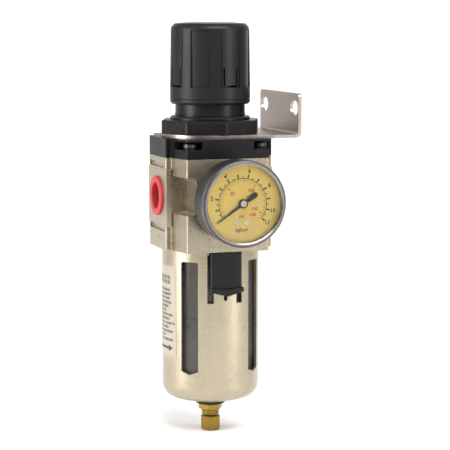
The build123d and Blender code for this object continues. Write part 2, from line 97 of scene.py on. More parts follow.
# Shader tools --------------------------------------------------------------------------------
class Signal:
    """A node socket that takes part in ordinary Python arithmetic."""

    def __init__(self, graph: "Graph", socket: bpy.types.NodeSocket) -> None:
        """Keep the socket and the graph that it belongs to."""
        self.graph = graph
        self.socket = socket

    def _math(self, operation: str, *values: Amount) -> "Signal":
        """Add one Math node.

        Args:
            operation: Blender's name of the operation.
            values: the operands, in order.

        Returns:
            The node's result.
        """
        return self.graph.node("ShaderNodeMath", {"operation": operation}, dict(enumerate(values)))

    def __add__(self, other: Amount) -> "Signal":
        """Sum."""
        return self._math("ADD", self, other)

    def __radd__(self, other: float) -> "Signal":
        """Sum with a number on the left."""
        return self._math("ADD", other, self)

    def __sub__(self, other: Amount) -> "Signal":
        """Difference."""
        return self._math("SUBTRACT", self, other)

    def __rsub__(self, other: float) -> "Signal":
        """Difference with a number on the left."""
        return self._math("SUBTRACT", other, self)

    def __mul__(self, other: Amount) -> "Signal":
        """Product."""
        return self._math("MULTIPLY", self, other)

    def __rmul__(self, other: float) -> "Signal":
        """Product with a number on the left."""
        return self._math("MULTIPLY", other, self)

    def __truediv__(self, other: Amount) -> "Signal":
        """Quotient."""
        return self._math("DIVIDE", self, other)

    def __lt__(self, other: Amount) -> "Signal":
        """1 where this is less than the other, else 0."""
        return self._math("LESS_THAN", self, other)

    def __gt__(self, other: Amount) -> "Signal":
        """1 where this is greater than the other, else 0."""
        return self._math("GREATER_THAN", self, other)

    def __abs__(self) -> "Signal":
        """Absolute value."""
        return self._math("ABSOLUTE", self)

    def floor(self) -> "Signal":
        """Whole part."""
        return self._math("FLOOR", self)

    def fraction(self) -> "Signal":
        """Fractional part."""
        return self._math("FRACT", self)

    def at_least(self, other: Amount) -> "Signal":
        """The larger of the two."""
        return self._math("MAXIMUM", self, other)

    def hypot(self, other: "Signal") -> "Signal":
        """Length of the hypotenuse."""
        return self._math("SQRT", self * self + other * other)

    def angle_from(self, other: "Signal") -> "Signal":
        """Angle whose tangent is this over the other."""
        return self._math("ARCTAN2", self, other)

    def between(self, low: float, high: float, out_low: float = 0.0, out_high: float = 1.0) -> "Signal":
        """Map a range smoothly onto another, held at both ends.

        Args:
            low: input that gives out_low.
            high: input that gives out_high.
            out_low: result at the low end.
            out_high: result at the high end.

        Returns:
            The mapped value.
        """
        return self.graph.node("ShaderNodeMapRange", {"interpolation_type": "SMOOTHSTEP"},
                               {"Value": self, "From Min": low, "From Max": high, "To Min": out_low,
                                "To Max": out_high})


class Graph:
    """One material's node tree."""

    def __init__(self, name: str) -> None:
        """Start an empty material with its output node."""
        self.material = bpy.data.materials.new(name)
        self.material.use_nodes = True
        self.tree = self.material.node_tree
        self.tree.nodes.clear()
        self.output = self.tree.nodes.new("ShaderNodeOutputMaterial")

    def node(self, kind: str, settings: Optional[dict] = None, inputs: Optional[dict] = None,
             output: Union[int, str] = 0) -> Signal:
        """Add any node.

        Args:
            kind: Blender's type name of the node.
            settings: properties to set first; stops holds a colour ramp's (place, colour) pairs.
            inputs: values or signals for sockets, by name or index.
            output: the output to return.

        Returns:
            The chosen output.
        """
        made = self.tree.nodes.new(kind)
        for name, value in (settings or {}).items():
            if name == "stops":
                self.set_stops(made.color_ramp, value)
            else:
                setattr(made, name, value)
        for name, value in (inputs or {}).items():
            if isinstance(value, Signal):
                self.tree.links.new(value.socket, made.inputs[name])
            else:
                made.inputs[name].default_value = value
        return Signal(self, made.outputs[output])

    @staticmethod
    def set_stops(ramp: bpy.types.ColorRamp, stops: Sequence[tuple[float, Colour]]) -> None:
        """Give a colour ramp its stops."""
        while len(ramp.elements) < len(stops):
            ramp.elements.new(1.0)
        for element, (place, colour) in zip(ramp.elements, stops):
            element.position = place
            element.color = (*colour, 1.0)

    def place(self) -> Signal:
        """Position in the part's own frame, in metres."""
        return self.node("ShaderNodeTexCoord", output="Object")

    def axes(self) -> tuple[Signal, Signal, Signal]:
        """X, Y and Z of the position, in millimetres."""
        split = self.node("ShaderNodeSeparateXYZ", None, {0: self.place()}).socket.node
        return tuple(Signal(self, split.outputs[k]) * 1000.0 for k in range(3))

    def stretched(self, scale: Sequence[float]) -> Signal:
        """Position scaled unevenly, for grain that runs one way."""
        return self.node("ShaderNodeVectorMath", {"operation": "MULTIPLY"},
                         {0: self.place(), 1: tuple(scale)})

    def noise(self, per_metre: float, detail: float = 3.0, where: Optional[Signal] = None,
              rough: float = 0.55) -> Signal:
        """Soft random value around 0.5.

        Args:
            per_metre: how many lumps a metre holds.
            detail: finer layers on top.
            where: coordinates, or the plain position.
            rough: weight of the finer layers.

        Returns:
            The noise value.
        """
        return self.node("ShaderNodeTexNoise", None, {"Vector": where or self.place(), "Scale": per_metre,
                                                      "Detail": detail, "Roughness": rough})

    def cells(self, per_metre: float) -> Signal:
        """Random grey of small cells, as in a metallic flake."""
        flake = self.node("ShaderNodeTexVoronoi", None, {"Vector": self.place(), "Scale": per_metre},
                          "Color")
        return self.node("ShaderNodeSeparateColor", None, {0: flake})

    def blend(self, low: Union[Colour, Signal], high: Union[Colour, Signal], share: Amount) -> Signal:
        """Mix two colours.

        Args:
            low: colour at share 0.
            high: colour at share 1.
            share: how much of the second colour shows.

        Returns:
            The mixed colour.
        """
        ends = [c if isinstance(c, Signal) else (*c, 1.0) for c in (low, high)]
        return self.node("ShaderNodeMix", {"data_type": "RGBA"}, {0: share, 6: ends[0], 7: ends[1]}, 2)

    def relief(self, height: Signal, depth_mm: float, edge_mm: float = 0.25) -> Signal:
        """Surface normal with fine relief and softened edges.

        Args:
            height: relief between 0 and 1.
            depth_mm: height of a full step.
            edge_mm: radius by which sharp edges look rounded; 0 leaves them.

        Returns:
            The normal.
        """
        inputs = {"Height": height, "Distance": depth_mm * MM, "Strength": 1.0}
        if edge_mm:
            inputs["Normal"] = self.node("ShaderNodeBevel", {"samples": 4}, {"Radius": edge_mm * MM})
        return self.node("ShaderNodeBump", None, inputs)

    def surface(self, inputs: dict) -> Signal:
        """Principled surface with the given sockets."""
        return self.node("ShaderNodeBsdfPrincipled", None, inputs)

    def done(self, shader: Signal) -> bpy.types.Material:
        """Connect the shader and give back the material."""
        self.tree.links.new(shader.socket, self.output.inputs["Surface"])
        return self.material


def dimmed(colour: Colour, share: float) -> Colour:
    """The colour times a share."""
    return tuple(c * share for c in colour)


# Finishes ------------------------------------------------------------------------------------
@dataclass(frozen=True)
class Enamel:
    """Satin metallic enamel on aluminium, as on the casting and the bowl guard."""

    name: str
    colour: Colour = (0.37, 0.322, 0.235)
    soil: Colour = (0.335, 0.288, 0.208)
    flake: float = 2600.0
    peel_mm: float = 0.035
    edge_mm: float = 0.45

    def material(self) -> bpy.types.Material:
        """Enamel with flake, slight orange peel and softly rounded edges."""
        g = Graph(self.name)
        flake = g.cells(self.flake)
        cloud = g.noise(45.0, 4.0)
        grime = g.noise(160.0, 5.0)
        base = g.blend(dimmed(self.colour, 0.93), dimmed(self.colour, 1.05), cloud.between(0.3, 0.7))
        base = g.blend(base, dimmed(self.colour, 1.22), flake.between(0.55, 1.0, 0.0, 0.35))
        base = g.blend(base, self.soil, grime.between(0.62, 0.85, 0.0, 0.25))
        peel = g.noise(700.0, 2.0) * 0.7 + flake * 0.3
        return g.done(g.surface({
            "Base Color": base, "Metallic": 0.86, "Coat Weight": 0.12, "Coat Roughness": 0.25,
            "Roughness": cloud.between(0.3, 0.7, 0.24, 0.30) + flake * 0.05,
            "Normal": g.relief(peel, self.peel_mm, self.edge_mm)}))


@dataclass(frozen=True)
class Moulded:
    """Injection-moulded plastic with a fine eroded grain."""

    name: str
    colour: Colour
    roughness: float = 0.42
    grain_mm: float = 0.03
    grain_per_metre: float = 2600.0
    edge_mm: float = 0.3
    flow: float = 0.25
    dust: Colour = (0.16, 0.15, 0.14)

    def material(self) -> bpy.types.Material:
        """Plastic whose gloss and shade drift slightly, with dust in the grain."""
        g = Graph(self.name)
        flow = g.noise(30.0, 3.0, g.stretched((1.0, 1.0, 0.35)))
        grain = g.noise(self.grain_per_metre, 2.0)
        dust = g.noise(240.0, 6.0, rough=0.7)
        base = g.blend(dimmed(self.colour, 1.0 - self.flow), dimmed(self.colour, 1.0 + self.flow), flow)
        base = g.blend(base, self.dust, dust.between(0.62, 0.9, 0.0, 0.10))
        rough = flow.between(0.35, 0.65, self.roughness - 0.04, self.roughness + 0.05) + grain * 0.05
        return g.done(g.surface({
            "Base Color": base, "Roughness": rough, "Specular IOR Level": 0.20,
            "Normal": g.relief(grain, self.grain_mm, self.edge_mm)}))


class Lay(Enum):
    """Direction in which a metal surface was worked."""

    UPRIGHT = (1.0, 1.0, 0.02)
    ROUND = (0.06, 0.06, 1.0)
    NONE = (1.0, 1.0, 1.0)


@dataclass(frozen=True)
class WorkedMetal:
    """Bare metal with the marks of brushing, rolling or turning."""

    name: str
    colour: Colour
    lay: Lay = Lay.NONE
    roughness: float = 0.3
    spread: float = 0.12
    marks_per_metre: float = 3500.0
    marks_mm: float = 0.01
    stain: Colour = (0.35, 0.27, 0.2)
    stain_share: float = 0.2
    edge_mm: float = 0.15

    def material(self) -> bpy.types.Material:
        """Metal with directional marks, uneven gloss and light staining."""
        g = Graph(self.name)
        marks = g.noise(self.marks_per_metre, 3.0, g.stretched(self.lay.value), 0.6)
        cloud = g.noise(90.0, 5.0)
        base = g.blend(dimmed(self.colour, 0.86), self.colour, marks.between(0.3, 0.7))
        base = g.blend(base, self.stain, cloud.between(0.55, 0.85, 0.0, self.stain_share))
        rough = marks.between(0.25, 0.75, self.roughness - self.spread / 2, self.roughness + self.spread / 2)
        return g.done(g.surface({
            "Base Color": base, "Metallic": 1.0, "Roughness": rough + cloud * 0.06,
            "Normal": g.relief(marks, self.marks_mm, self.edge_mm)}))


@dataclass(frozen=True)
class RolledBezel:
    """Polished bezel whose outer roll carries a painted dark reflection, with a bright inner lip."""

    name: str
    centre: tuple[float, float]
    lip_mm: float = 25.2
    bright: Colour = (0.27, 0.255, 0.235)
    # colour of the painted dark reflection laid on the outer roll
    dark: Colour = (0.03, 0.028, 0.03)

    def material(self) -> bpy.types.Material:
        """Polished metal with small scuffs; its outer roll carries a painted dark reflection, patchy with
        the same noise.
        """
        g = Graph(self.name)
        x, _, z = g.axes()
        radius = (x - self.centre[0]).hypot(z - self.centre[1])
        scuff = g.noise(900.0, 4.0)
        # painted dark reflection: beyond the lip the roll turns dark and non-metallic, patchy with the scuff
        # noise
        outer = radius.between(self.lip_mm - 0.12, self.lip_mm + 0.12) * scuff.between(0.22, 0.34, 0.55, 1.0)
        base = g.blend(self.bright, self.dark, outer)
        return g.done(g.surface({
            "Base Color": base, "Metallic": 1.0 - outer, "Roughness": scuff.between(0.3, 0.7, 0.26, 0.34),
            "Normal": g.relief(scuff, 0.002, 0.2)}))


@dataclass(frozen=True)
class ClearLens:
    """Clear window: mirror-like at a slant, nearly invisible face on."""

    name: str
    tint: Colour = (0.985, 0.985, 0.97)

    def material(self) -> bpy.types.Material:
        """Transparent body with a faint wavy reflection."""
        g = Graph(self.name)
        wave = g.relief(g.noise(60.0, 1.0), 0.02, 0.0)
        clear = g.node("ShaderNodeBsdfTransparent", None, {"Color": (*self.tint, 1.0)})
        gloss = g.node("ShaderNodeBsdfGlossy", None,
                       {"Color": (1.0, 1.0, 1.0, 1.0), "Roughness": 0.03, "Normal": wave})
        share = g.node("ShaderNodeFresnel", None, {"IOR": 1.49, "Normal": wave})
        return g.done(g.node("ShaderNodeMixShader", None, {0: share, 1: clear, 2: gloss}))


@dataclass(frozen=True)
class SmokyShell:
    """Smoky clear plastic of the bowl."""

    name: str
    tint: Colour = (0.66, 0.63, 0.58)
    body: Colour = (0.11, 0.105, 0.095)

    def material(self) -> bpy.types.Material:
        """Tinted see-through shell with soft vertical draw marks and a glossy face."""
        g = Graph(self.name)
        draw = g.noise(500.0, 2.0, g.stretched((1.0, 1.0, 0.05)))
        haze = g.noise(70.0, 4.0)
        clear = g.node("ShaderNodeBsdfTransparent", None, {"Color": (*self.tint, 1.0)})
        shell = g.surface({
            "Base Color": g.blend(self.body, dimmed(self.body, 1.6), haze),
            "Roughness": draw.between(0.3, 0.7, 0.10, 0.18),
            "Normal": g.relief(draw, 0.01, 0.0)})
        share = haze.between(0.3, 0.7, 0.30, 0.38)
        return g.done(g.node("ShaderNodeMixShader", None, {0: share, 1: clear, 2: shell}))


@dataclass(frozen=True)
class Porous:
    """Open sintered filter plastic."""

    name: str
    colour: Colour

    def material(self) -> bpy.types.Material:
        """Matt pale body with dark pores."""
        g = Graph(self.name)
        pores = g.noise(1800.0, 3.0)
        base = g.blend(dimmed(self.colour, 0.55), self.colour, pores.between(0.35, 0.55))
        return g.done(g.surface({"Base Color": base, "Roughness": pores.between(0.2, 0.8, 0.95, 0.8),
                                 "Normal": g.relief(pores, 0.15, 0.0)}))


@dataclass(frozen=True)
class DialPaint:
    """Yellow lacquer of the dial, slightly uneven, with painted shade darkening it towards the rim."""

    name: str
    centre: tuple[float, float]
    colour: Colour = (0.95, 0.72, 0.19)
    rim_mm: float = 22.5

    def material(self) -> bpy.types.Material:
        """Lacquer with fine stipple."""
        g = Graph(self.name)
        x, _, z = g.axes()
        radius = (x - self.centre[0]).hypot(z - self.centre[1])
        stipple = g.noise(3000.0, 2.0)
        cloud = g.noise(50.0, 3.0)
        base = g.blend(dimmed(self.colour, 0.93), dimmed(self.colour, 1.06), cloud.between(0.3, 0.7))
        base = g.blend(base, dimmed(self.colour, 0.8), stipple.between(0.55, 0.8, 0.0, 0.3))
        # painted shade: darker towards the rim, where the case wall and bezel lip overhang the dial
        base = g.blend(base, dimmed(self.colour, 0.6),
                       radius.between(self.rim_mm - 0.8, self.rim_mm + 1.5, 0.0, 0.35))
        return g.done(g.surface({"Base Color": base, "Roughness": cloud.between(0.3, 0.7, 0.42, 0.5),
                                 "Metallic": 0.1, "Normal": g.relief(stipple, 0.006, 0.0)}))


@dataclass(frozen=True)
class Ink:
    """Screen-printing ink."""

    name: str
    colour: Colour

    def material(self) -> bpy.types.Material:
        """Slightly broken ink."""
        g = Graph(self.name)
        broken = g.noise(4000.0, 2.0)
        base = g.blend(self.colour, dimmed(self.colour, 1.8), broken.between(0.5, 0.8, 0.0, 0.5))
        return g.done(g.surface({"Base Color": base, "Roughness": broken.between(0.3, 0.7, 0.4, 0.5)}))


@dataclass(frozen=True)
class PrintedLabel:
    """Film label with a border, rows of made-up fine print and a flow arrow."""

    name: str
    axis_x: float
    radius: float
    centre_z: float
    half_width: float
    half_height: float
    film: Colour = (0.39, 0.345, 0.28)
    ink: Colour = (0.045, 0.032, 0.026)
    line: Colour = (0.30, 0.17, 0.11)
    row_pitch: float = 2.65

    def material(self) -> bpy.types.Material:
        """Film and print, laid out in millimetres around the guard."""
        g = Graph(self.name)
        x, y, z = g.axes()
        across = (math.pi / 2 - (self.axis_x - x).angle_from(y * -1.0)) * self.radius
        up = z - self.centre_z
        wear = g.noise(2600.0, 3.0)
        film = g.blend(dimmed(self.film, 0.95), dimmed(self.film, 1.04), g.noise(60.0, 3.0))
        marks = self._fine_print(g, across, up).at_least(self._heading(across, up))
        marks = marks.at_least(self._arrow(across, up))
        marks = marks * wear.between(0.2, 0.42)
        base = g.blend(film, self.ink, marks)
        base = g.blend(base, self.line, self._border(across, up) * 0.85)
        return g.done(g.surface({"Base Color": base, "Roughness": marks.between(0.0, 1.0, 0.38, 0.5),
                                 "Metallic": 0.2, "Normal": g.relief(marks, 0.01, 0.0)}))

    def _border(self, across: Signal, up: Signal) -> Signal:
        """Thin rounded frame just inside the label's edge."""
        corner = 2.4
        dx = (abs(across) - (self.half_width - 0.9 - corner)).at_least(0.0)
        dy = (abs(up) - (self.half_height - 0.9 - corner)).at_least(0.0)
        return abs(dx.hypot(dy) - corner) < 0.13

    def _fine_print(self, g: Graph, across: Signal, up: Signal) -> Signal:
        """Rows of broken strokes of uneven length that read as small print from afar."""
        rows = (15.0 - up) / self.row_pitch
        inside = (up < 15.0) * (up > -19.4)
        stroke_band = abs(rows.fraction() - 0.5) < 0.31
        row_key = g.node("ShaderNodeTexWhiteNoise", {"noise_dimensions": "1D"}, {"W": rows.floor() + 7.0})
        length = row_key * 11.0 + 3.0
        reach = (across < length) * (across > 1.2 - self.half_width + 1.2)
        where = g.node("ShaderNodeCombineXYZ", None, {0: across * 1.9, 1: rows.floor() * 3.7, 2: up * 1.1})
        strokes = g.noise(1.0, 2.0, where, 0.7) > 0.46
        return inside * stroke_band * reach * strokes

    def _heading(self, across: Signal, up: Signal) -> Signal:
        """Bold plain blocks where a heading stands."""
        band = abs(up - 20.2) < 2.7
        blocks = (across * 0.42 + 0.2).fraction() < 0.66
        notch = (abs(up - 20.2) < 0.75) * ((across * 0.42 + 0.2).fraction() > 0.36)
        return band * blocks * (1.0 - notch) * (across < 9.6) * (across > -11.5)

    def _arrow(self, across: Signal, up: Signal) -> Signal:
        """Flow arrow that points to the outlet side."""
        rise = abs(up + 23.4)
        shaft = (rise < 0.85) * (across < 8.2) * (across > -10.5)
        head = (rise < (11.8 - across) * 0.52) * (across > 7.6) * (across < 11.8)
        return shaft.at_least(head)


# Mesh tools ----------------------------------------------------------------------------------
class Sketch:
    """Collects polygons into one mesh object."""

    def __init__(self) -> None:
        """Start with an empty mesh."""
        self.mesh = bmesh.new()

    def face(self, points: Iterable[Sequence[float]]) -> None:
        """Add one polygon through the points."""
        self.mesh.faces.new([self.mesh.verts.new(p) for p in points])

    def grid(self, rows: Sequence[Sequence[Vector]], closed: bool = False) -> None:
        """Skin neighbouring rows of points with quads.

        Args:
            rows: lists of points of equal length.
            closed: whether each row's end joins its start.
        """
        made = [[self.mesh.verts.new(p) for p in row] for row in rows]
        for near, far in zip(made, made[1:]):
            count = len(near)
            for k in range(count if closed else count - 1):
                self.mesh.faces.new((near[k], near[(k + 1) % count], far[(k + 1) % count], far[k]))

    def take(self, mesh: bpy.types.Mesh, matrix: Matrix) -> None:
        """Add a finished mesh after moving it."""
        mesh.transform(matrix)
        self.mesh.from_mesh(mesh)
        bpy.data.meshes.remove(mesh)

    def thicken(self, depth: Vector) -> None:
        """Turn flat faces into closed plates of that depth."""
        made = bmesh.ops.extrude_face_region(self.mesh, geom=self.mesh.faces[:])
        bmesh.ops.translate(self.mesh, vec=depth,
                            verts=[v for v in made["geom"] if isinstance(v, bmesh.types.BMVert)])
        bmesh.ops.recalc_face_normals(self.mesh, faces=self.mesh.faces[:])

    def to_object(self, name: str, smooth: bool = False) -> bpy.types.Object:
        """Make the object.

        Args:
            name: the piece's name.
            smooth: whether its faces are shaded smooth.

        Returns:
            The new object, in the scene.
        """
        data = bpy.data.meshes.new(name)
        for face in self.mesh.faces:
            face.smooth = smooth
        self.mesh.to_mesh(data)
        self.mesh.free()
        made = bpy.data.objects.new(name, data)
        bpy.context.scene.collection.objects.link(made)
        return made


def lettering(text: str, height: float) -> bpy.types.Mesh:
    """Flat mesh of a short text, centred, in the XY plane.

    Args:
        text: the figures to write.
        height: height of the figures in metres.

    Returns:
        A new mesh.
    """
    curve = bpy.data.curves.new("figures", "FONT")
    curve.body = text
    curve.size = height * 1.38
    curve.align_x = "CENTER"
    curve.align_y = "CENTER"
    curve.resolution_u = 4
    curve.offset = height * 0.035
    holder = bpy.data.objects.new("figures", curve)
    bpy.context.scene.collection.objects.link(holder)
    bpy.context.view_layer.update()
    mesh = bpy.data.meshes.new_from_object(holder.evaluated_get(bpy.context.evaluated_depsgraph_get()))
    bpy.data.objects.remove(holder)
    bpy.data.curves.remove(curve)
    return mesh


def ridge_helix(centre: Vector, along: Vector, radius: float, rise: float, pitch: float,
                length: float) -> Sketch:
    """Screw-thread ridge of triangular section.

    Args:
        centre: where the thread starts, on its axis.
        along: unit vector along the axis.
        radius: radius of the ridge's foot.
        rise: radial height of the crest; negative for a thread in a hole.
        pitch: distance between turns.
        length: threaded length.

    Returns:
        The sketch that holds the ridge.
    """
    side = along.orthogonal().normalized()
    other = along.cross(side)
    steps = max(8, round(length / pitch * 40))
    rows = []
    for k in range(steps + 1):
        turn = 2 * math.pi * k / 40
        out = side * math.cos(turn) + other * math.sin(turn)
        base = centre + along * (pitch * k / 40)
        fade = min(1.0, k / 30, (steps - k) / 30)
        crest = out * (radius + rise * max(fade, 0.02))
        rows.append([base + out * radius, base + along * pitch * 0.36 + crest,
                     base + along * pitch * 0.5 + crest,
                     base + along * pitch * 0.86 + out * radius])
    sketch = Sketch()
    sketch.grid(rows, closed=True)
    return sketch


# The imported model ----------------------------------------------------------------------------
@dataclass
class Packed:
    """The fixed frame, with the few places that everything else is worked out from."""

    frame: dict
    axis_x: float = field(init=False)
    port_z: float = field(init=False)

    def __post_init__(self) -> None:
        """Find the upright axis and the port axis."""
        low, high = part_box("panel_nut")
        self.axis_x = (low.x + high.x) / 2
        low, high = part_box("gauge_bezel")
        self.port_z = (low.z + high.z) / 2

    def dress(self, material: bpy.types.Material, *names: str) -> None:
        """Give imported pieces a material.

        Args:
            material: the finish.
            names: the pieces' names.
        """
        for name in names:
            piece = self.frame["nodes"][name]
            piece.data.materials.clear()
            piece.data.materials.append(material)
            LOG.info("dressed %s in %s", name, material.name)

    @staticmethod
    def add(piece: bpy.types.Object, material: bpy.types.Material, body: str, slot: str) -> bpy.types.Object:
        """Finish a new piece and fix it to a body.

        Args:
            piece: the new object.
            material: its finish.
            body: the body that it rides on.
            slot: not used.

        Returns:
            The same object.
        """
        piece.data.materials.append(material)
        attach(piece, body)
        LOG.info("added %s on %s", piece.name, body)
        return piece


# Sub-assemblies ------------------------------------------------------------------------------
@dataclass
class CastBody:
    """Casting, bonnet, panel nut, screws, bracket and port closures."""

    packed: Packed
    port_radius: float = 9.32 * MM
    port_pitch: float = 1.81 * MM
    thread_rise: float = 0.55 * MM

    def build(self) -> None:
        """Dress the housing pieces and cut the visible threads."""
        enamel = Enamel("champagne_cast").material()
        self.packed.dress(enamel, "body_casting")
        nylon = Moulded("black_nylon", (0.006, 0.0055, 0.006), 0.33, 0.035).material()
        self.packed.dress(nylon, "bonnet", "panel_nut")
        self.packed.dress(WorkedMetal("blackened_steel", (0.09, 0.085, 0.08), Lay.NONE, 0.42).material(),
                          "bonnet_screws")
        sheet = WorkedMetal("bracket_steel", (0.44, 0.375, 0.34), Lay.UPRIGHT, 0.32, 0.14, 2400.0, 0.012,
                            (0.42, 0.33, 0.27), 0.35)
        self.packed.dress(sheet.material(), "mounting_bracket")
        red = Moulded("red_plastic", (0.40, 0.035, 0.036), 0.38, 0.02, 1500.0, 0.3, 0.12).material()
        self.packed.dress(red, "inlet_plug")
        self._outlet_thread(enamel)

    def _outlet_thread(self, enamel: bpy.types.Material) -> None:
        """Thread ridge inside the open outlet port."""
        _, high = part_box("body_casting")
        start = Vector((high.x - 14.0 * MM, 0.0, self.packed.port_z))
        ridge = ridge_helix(start, Vector((1, 0, 0)), self.port_radius, -self.thread_rise,
                            self.port_pitch, 11.5 * MM)
        self.packed.add(ridge.to_object("outlet_thread", True), enamel, "root", "champagne_cast")


@dataclass
class AdjustingGear:
    """Knob and everything that it turns."""

    packed: Packed

    def build(self) -> None:
        """Dress the knob, the screw and the inner regulating pieces."""
        knob = Moulded("black_knob", (0.009, 0.008, 0.0085), 0.37, 0.04, 2400.0, 0.35)
        self.packed.dress(knob.material(), "knob")
        zinc = WorkedMetal("zinc_steel", (0.72, 0.72, 0.74), Lay.ROUND, 0.3).material()
        self.packed.dress(zinc, "adjusting_screw", "spring_seat", "diaphragm_plate", "rear_port_plug")
        wire = WorkedMetal("spring_steel", (0.55, 0.55, 0.57), Lay.ROUND, 0.28).material()
        self.packed.dress(wire, "adjusting_spring", "valve_spring", "lock_spring")
        rubber = Moulded("rubber_black", (0.02, 0.02, 0.02), 0.62, 0.05, 1800.0, 0.2).material()
        self.packed.dress(rubber, "diaphragm", "bowl_oring")
        brass = WorkedMetal("valve_brass", (0.80, 0.58, 0.25), Lay.ROUND, 0.28).material()
        self.packed.dress(brass, "valve_seat", "valve_poppet", "gauge_stem", "gauge_movement",
                          "bourdon_tube")


@dataclass
class FilterBowl:
    """Guard, bowl, filter pieces, label, lock button and drain cock."""

    packed: Packed

    def build(self) -> None:
        """Dress the lower half."""
        self.packed.dress(Enamel("champagne_shell", peel_mm=0.025, edge_mm=0.3).material(), "bowl_guard")
        self.packed.dress(SmokyShell("smoky_bowl").material(), "bowl")
        self.packed.dress(Porous("filter_white", (0.62, 0.58, 0.52)).material(), "filter_element")
        acetal = Moulded("black_acetal", (0.018, 0.017, 0.018), 0.38, 0.02).material()
        self.packed.dress(acetal, "valve_guide", "deflector", "element_stud", "element_baffle", "baffle_nut",
                          "drain_collar")
        button = Moulded("black_button", (0.010, 0.0095, 0.011), 0.33, 0.03).material()
        self.packed.dress(button, "lock_button")
        brass = WorkedMetal("drain_brass", (0.30, 0.195, 0.04), Lay.ROUND, 0.30, 0.14, 3000.0, 0.012,
                            (0.34, 0.17, 0.05), 0.45, 0.12)
        self.packed.dress(brass.material(), "drain_body", "drain_spindle", "drain_knob")
        self._label()

    def _label(self) -> None:
        """Print the label round the guard."""
        low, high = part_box("label")
        guard_low, guard_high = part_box("bowl_guard")
        radius = (guard_high.x - guard_low.x) / 2 / MM
        angle = math.asin(min(1.0, (high.y - low.y) / 2 / (radius * MM)))
        label = PrintedLabel("printed_label", self.packed.axis_x / MM, radius, (low.z + high.z) / 2 / MM,
                             angle * radius, (high.z - low.z) / 2 / MM)
        self.packed.dress(label.material(), "label")


@dataclass
class Gauge:
    """Pressure gauge: case, bezel, lens, dial with its two printed scales, and pointer."""

    packed: Packed
    zero: float = -126.0
    unit: float = 23.05
    proud: float = 0.03 * MM

    def build(self) -> None:
        """Dress the gauge and print its dial."""
        case_enamel = Moulded("case_enamel", (0.017, 0.016, 0.0165), 0.30, 0.015, 1200.0, 0.5)
        self.packed.dress(case_enamel.material(),
                          "gauge_case")
        centre = (self.packed.axis_x / MM, self.packed.port_z / MM)
        self.packed.dress(RolledBezel("bezel_chrome", centre).material(), "gauge_bezel")
        spacer = WorkedMetal("spacer_bright", (0.80, 0.77, 0.70), Lay.NONE, 0.3, 0.06, 900.0, 0.002)
        self.packed.dress(spacer.material(), "gauge_spacer")
        self.packed.dress(ClearLens("lens_clear").material(), "gauge_lens")
        self.packed.dress(DialPaint("dial_yellow", centre).material(), "gauge_dial")
        bright = WorkedMetal("bright_screw", (0.78, 0.76, 0.72), Lay.NONE, 0.25).material()
        self.packed.dress(bright, "dial_screws", "needle_cap")
        self.packed.dress(Moulded("pointer_black", (0.03, 0.028, 0.027), 0.42, 0.01).material(),
                          "gauge_needle")
        self._print_dial()

    def _point(self, radius: float, degrees: float, shift: float = 0.0) -> Vector:
        """Point on the dial's face, clockwise from straight up, moved sideways by shift; millimetres."""
        a = math.radians(degrees)
        x = radius * math.sin(a) + shift * math.cos(a)
        z = radius * math.cos(a) - shift * math.sin(a)
        return Vector((self.packed.axis_x + x * MM, self.face_y, self.packed.port_z + z * MM))

    def _arc(self, sketch: Sketch, radius: float, width: float, start: float, end: float) -> None:
        """Thin ring sector."""
        steps = 120
        angles = [start + (end - start) * k / steps for k in range(steps + 1)]
        sketch.grid([[self._point(radius - width / 2, a), self._point(radius + width / 2, a)]
                     for a in angles])

    def _tick(self, sketch: Sketch, inner: float, outer: float, degrees: float, w_in: float,
              w_out: float) -> None:
        """Tapered tick mark."""
        sketch.face([self._point(inner, degrees, -w_in / 2), self._point(outer, degrees, -w_out / 2),
                     self._point(outer, degrees, w_out / 2), self._point(inner, degrees, w_in / 2)])

    def _figure(self, sketch: Sketch, text: str, x: float, z: float, size: float) -> None:
        """Write a figure on the dial, upright, centred at (x, z) millimetres from the arbor."""
        place = Vector((self.packed.axis_x + x * MM, self.face_y, self.packed.port_z + z * MM))
        sketch.take(lettering(text, size * MM),
                    Matrix.Translation(place) @ Matrix.Rotation(math.pi / 2, 4, "X"))

    def _print_dial(self) -> None:
        """Black and red scales as thin raised ink."""
        low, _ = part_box("gauge_dial")
        self.face_y = low.y - 0.005 * MM
        black, red = Sketch(), Sketch()
        self._black_scale(black)
        self._red_scale(red)
        for sketch, name, colour, slot in ((black, "dial_print_black", (0.010, 0.008, 0.006),
                                            "needle_black"),
                                           (red, "dial_print_red", (0.55, 0.07, 0.03), "red_plastic")):
            sketch.thicken(Vector((0.0, -self.proud, 0.0)))
            ink = Ink(name + "_ink", colour).material()
            self.packed.add(sketch.to_object(name), ink, "root", slot)

    def _black_scale(self, sketch: Sketch) -> None:
        """Outer scale from 0 to 11 with figures on the even units."""
        end = self.zero + 11 * self.unit
        self._arc(sketch, 15.2, 0.4, self.zero, end)
        for half in range(23):
            degrees = self.zero + half * self.unit / 2
            if half % 2:
                self._tick(sketch, 15.0, 16.5, degrees, 0.4, 0.55)
            else:
                self._tick(sketch, 15.0, 17.8, degrees, 0.5, 1.1)
        for value in (2, 4, 6, 8, 10, 11):
            a = math.radians(self.zero + value * self.unit)
            self._figure(sketch, str(value), 19.9 * math.sin(a), 19.9 * math.cos(a), 2.5)
        self._figure(sketch, "kgf/cm²", -0.6, -16.1, 2.0)

    def _red_scale(self, sketch: Sketch) -> None:
        """Inner scale from 0 to 160 with its own figures."""
        per_unit = self.unit * 0.0703
        self._arc(sketch, 14.15, 0.14, self.zero, self.zero + 160 * per_unit)
        for step in range(33):
            value = step * 5
            degrees = self.zero + value * per_unit
            if value and value % 50 == 0:
                depth, width = 2.3, 0.75
            elif value % 10 == 0:
                depth, width = 1.5, 0.3
            else:
                depth, width = 0.9, 0.22
            self._tick(sketch, 14.15 - depth, 14.15, degrees, width, 0.2)
        for text, x, z in (("50", -6.7, 6.1), ("100", 5.3, 7.8), ("150", 7.4, -3.4), ("160", 6.3, -6.9),
                           ("psi", -0.7, -7.6)):
            self._figure(sketch, text, x, z, 2.1)


